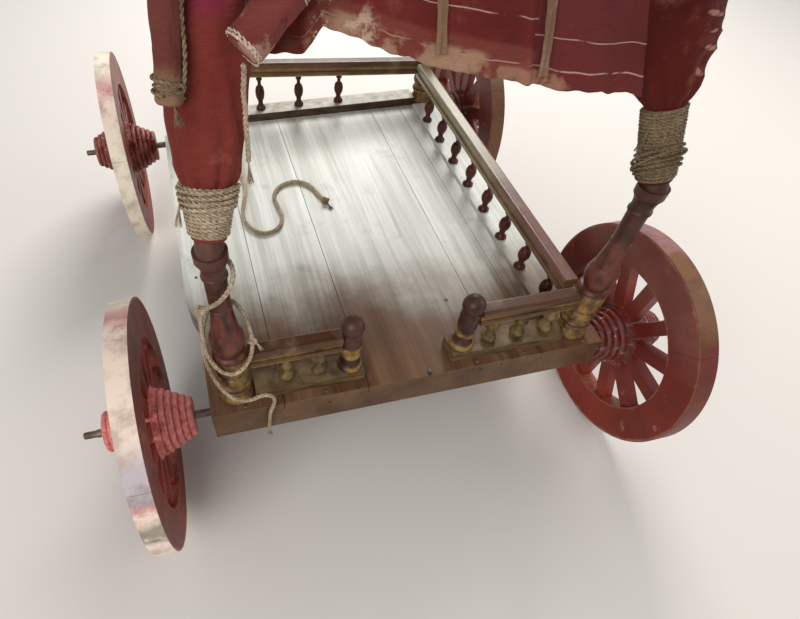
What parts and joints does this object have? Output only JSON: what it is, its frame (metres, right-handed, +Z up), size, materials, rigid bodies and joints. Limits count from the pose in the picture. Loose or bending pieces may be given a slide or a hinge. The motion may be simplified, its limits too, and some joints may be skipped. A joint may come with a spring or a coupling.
{
  "type": "processional deity cart",
  "caption": "Low four-wheeled wooden cart with spoked wheels on iron rods, a turned gallery and a red cloth canopy on lashed, sleeved poles.",
  "frame": {"origin": "on the floor under the middle of the wheelbase and of the iron rods", "axes": "+X to the cart's right, along the rods; -Y to the cart's front; +Z up"},
  "size_m": [1.14, 1.247, 1.0373],
  "materials": {
    "bare_wood": "weathered, dull",
    "rail_wood": "worn varnish with gold remnants",
    "baluster_paint": "worn dark red paint",
    "turned_wood": "dark stain with gilded rings",
    "wheel_paint": "worn maroon paint",
    "hub_paint": "worn red paint",
    "iron": "dull, lightly rusted",
    "red_cloth": "faded woven cotton",
    "tan_cloth": "faded woven tape",
    "jute": "rough laid rope",
    "frame_wood": "plain sawn"
  },
  "bodies": {
    "cart": {"axle_beam_front": "bare_wood", "axle_beam_rear": "bare_wood", "axle_rod_front": "iron", "axle_rod_rear": "iron", "ball_post_left": "turned_wood", "ball_post_right": "turned_wood", "balusters_front": "baluster_paint", "balusters_rear": "baluster_paint", "balusters_right": "baluster_paint", "base_rail_front_left": "rail_wood", "base_rail_front_right": "rail_wood", "base_rail_rear": "rail_wood", "base_rail_right": "rail_wood", "brace_left": "red_cloth", "canopy_cross_battens": "frame_wood", "canopy_poles": "frame_wood", "canopy_roof": "red_cloth", "canopy_side_battens": "frame_wood", "curtain_roll_left": "red_cloth", "deck_planks": "bare_wood", "deck_rope": "jute", "front_fascia": "bare_wood", "lashing_front_left": "jute", "lashing_front_right": "jute", "lashing_rear_left": "jute", "lashing_rear_right": "jute", "leg_front_left": "turned_wood", "leg_front_right": "turned_wood", "leg_rear_left": "turned_wood", "leg_rear_right": "turned_wood", "side_board_left": "bare_wood", "side_board_right": "bare_wood", "side_strip_left": "bare_wood", "sleeve_front_left": "red_cloth", "sleeve_front_right": "red_cloth", "sleeve_rear_left": "red_cloth", "sleeve_rear_right": "red_cloth", "tie_rope": "jute", "top_rail_front_left": "rail_wood", "top_rail_front_right": "rail_wood", "top_rail_rear": "rail_wood", "top_rail_right": "rail_wood", "valance_front": "red_cloth", "valance_left": "red_cloth", "valance_rear": "red_cloth", "valance_right": "red_cloth", "valance_straps": "tan_cloth"},
    "wheel_front_left": {"wheel_front_left_hub": "hub_paint", "wheel_front_left_rim": "wheel_paint"},
    "wheel_front_right": {"wheel_front_right_hub": "hub_paint", "wheel_front_right_rim": "wheel_paint"},
    "wheel_rear_left": {"wheel_rear_left_hub": "hub_paint", "wheel_rear_left_rim": "wheel_paint"},
    "wheel_rear_right": {"wheel_rear_right_hub": "hub_paint", "wheel_rear_right_rim": "wheel_paint"}
  },
  "joints": [
    {"name": "wheel_front_left_turn", "type": "hinge", "parent": "cart", "child": "wheel_front_left", "pos_m": [-0.461, -0.4085, 0.215], "axis": [1, 0, 0], "continuous": true},
    {"name": "wheel_front_right_turn", "type": "hinge", "parent": "cart", "child": "wheel_front_right", "pos_m": [0.436, -0.4085, 0.215], "axis": [1, 0, 0], "continuous": true},
    {"name": "wheel_rear_left_turn", "type": "hinge", "parent": "cart", "child": "wheel_rear_left", "pos_m": [-0.472, 0.4085, 0.215], "axis": [1, 0, 0], "continuous": true},
    {"name": "wheel_rear_right_turn", "type": "hinge", "parent": "cart", "child": "wheel_rear_right", "pos_m": [0.436, 0.4085, 0.215], "axis": [1, 0, 0], "continuous": true}
  ]
}
